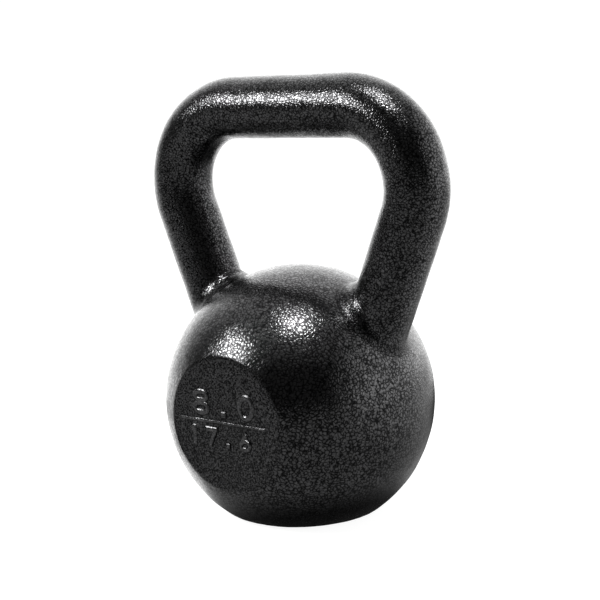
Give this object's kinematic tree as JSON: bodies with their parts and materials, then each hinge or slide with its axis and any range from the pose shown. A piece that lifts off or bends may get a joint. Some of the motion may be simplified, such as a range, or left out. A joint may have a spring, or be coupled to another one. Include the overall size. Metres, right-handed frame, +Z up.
{
  "type": "kettlebell",
  "caption": "Solid iron kettlebell: round weight with a flat base and flat front, a bent round-bar handle on top, and raised weight figures.",
  "frame": {"origin": "centre of the flat base, on the surface that the kettlebell stands on", "axes": "+Z up, +X along the handle's bar to its right end, -Y out of the flat front face that carries the weight figures"},
  "size_m": [0.1584, 0.109, 0.196],
  "materials": {
    "ball_enamel": "black hammertone enamel on cast iron, semi-gloss",
    "handle_enamel": "black hammertone enamel with finer cells, semi-gloss",
    "fillet_enamel": "black hammertone enamel, darker where it has run into the corner, semi-gloss",
    "figure_enamel": "black hammertone enamel with finer cells, darker round the foot of each figure, semi-gloss"
  },
  "bodies": {
    "root": {"ball": "ball_enamel", "handle": "handle_enamel", "left_root_fillet": "fillet_enamel", "right_root_fillet": "fillet_enamel", "kilogram_units": "figure_enamel", "kilogram_point": "figure_enamel", "kilogram_tenths": "figure_enamel", "rule": "figure_enamel", "pound_tens": "figure_enamel", "pound_units": "figure_enamel", "pound_point": "figure_enamel", "pound_tenths": "figure_enamel"}
  },
  "joints": []
}
